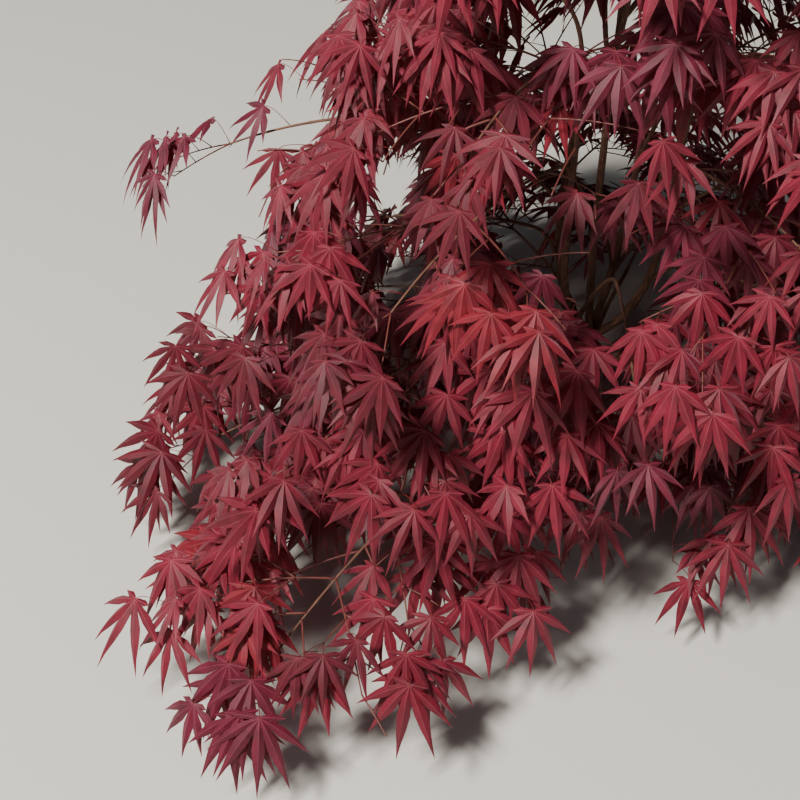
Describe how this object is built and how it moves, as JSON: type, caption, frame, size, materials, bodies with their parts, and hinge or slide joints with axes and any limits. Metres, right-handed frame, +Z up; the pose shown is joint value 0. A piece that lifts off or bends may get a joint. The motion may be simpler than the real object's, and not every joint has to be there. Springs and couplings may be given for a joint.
{
  "type": "young japanese maple tree",
  "caption": "Young Japanese maple with dark red five-lobed leaves in layered masses on slender boughs, forking low from a short flared trunk rooted in the ground.",
  "frame": {"origin": "middle of the flat cut under the trunk, at ground level", "axes": "+Z up, -Y towards the side the picture is taken from, +X to that side's right"},
  "size_m": [1.0068, 1.0351, 1.034],
  "materials": {
    "bark": "thin smooth bark with fine cracks, tan-brown where old and red on the young shoots",
    "foliage": "leaves in dark burgundy red with a soft sheen and paler ribs"
  },
  "bodies": {
    "root": {"arm_1_bough": "bark", "arm_1_foliage": "foliage", "leader_1_bough": "bark", "leader_1_foliage": "foliage", "low_1_bough": "bark", "low_1_foliage": "foliage", "low_2_bough": "bark", "low_2_foliage": "foliage", "low_3_bough": "bark", "low_3_foliage": "foliage", "low_4_bough": "bark", "low_4_foliage": "foliage", "low_5_bough": "bark", "low_5_foliage": "foliage", "low_6_bough": "bark", "low_6_foliage": "foliage", "low_7_bough": "bark", "low_7_foliage": "foliage", "low_8_bough": "bark", "low_8_foliage": "foliage", "low_9_bough": "bark", "low_9_foliage": "foliage", "main_1_bough": "bark", "main_1_foliage": "foliage", "main_2_bough": "bark", "main_2_foliage": "foliage", "main_3_bough": "bark", "main_3_foliage": "foliage", "main_4_bough": "bark", "main_4_foliage": "foliage", "middle_1_bough": "bark", "middle_1_foliage": "foliage", "middle_2_bough": "bark", "middle_2_foliage": "foliage", "middle_3_bough": "bark", "middle_3_foliage": "foliage", "middle_4_bough": "bark", "middle_4_foliage": "foliage", "second_1_bough": "bark", "second_1_foliage": "foliage", "second_2_bough": "bark", "second_2_foliage": "foliage", "second_3_bough": "bark", "second_3_foliage": "foliage", "second_4_bough": "bark", "second_4_foliage": "foliage", "second_5_bough": "bark", "second_5_foliage": "foliage", "second_6_bough": "bark", "second_6_foliage": "foliage", "trunk": "bark", "upper_1_bough": "bark", "upper_1_foliage": "foliage", "upper_2_bough": "bark", "upper_2_foliage": "foliage", "upper_3_bough": "bark", "upper_3_foliage": "foliage", "upper_4_bough": "bark", "upper_4_foliage": "foliage"}
  },
  "joints": []
}
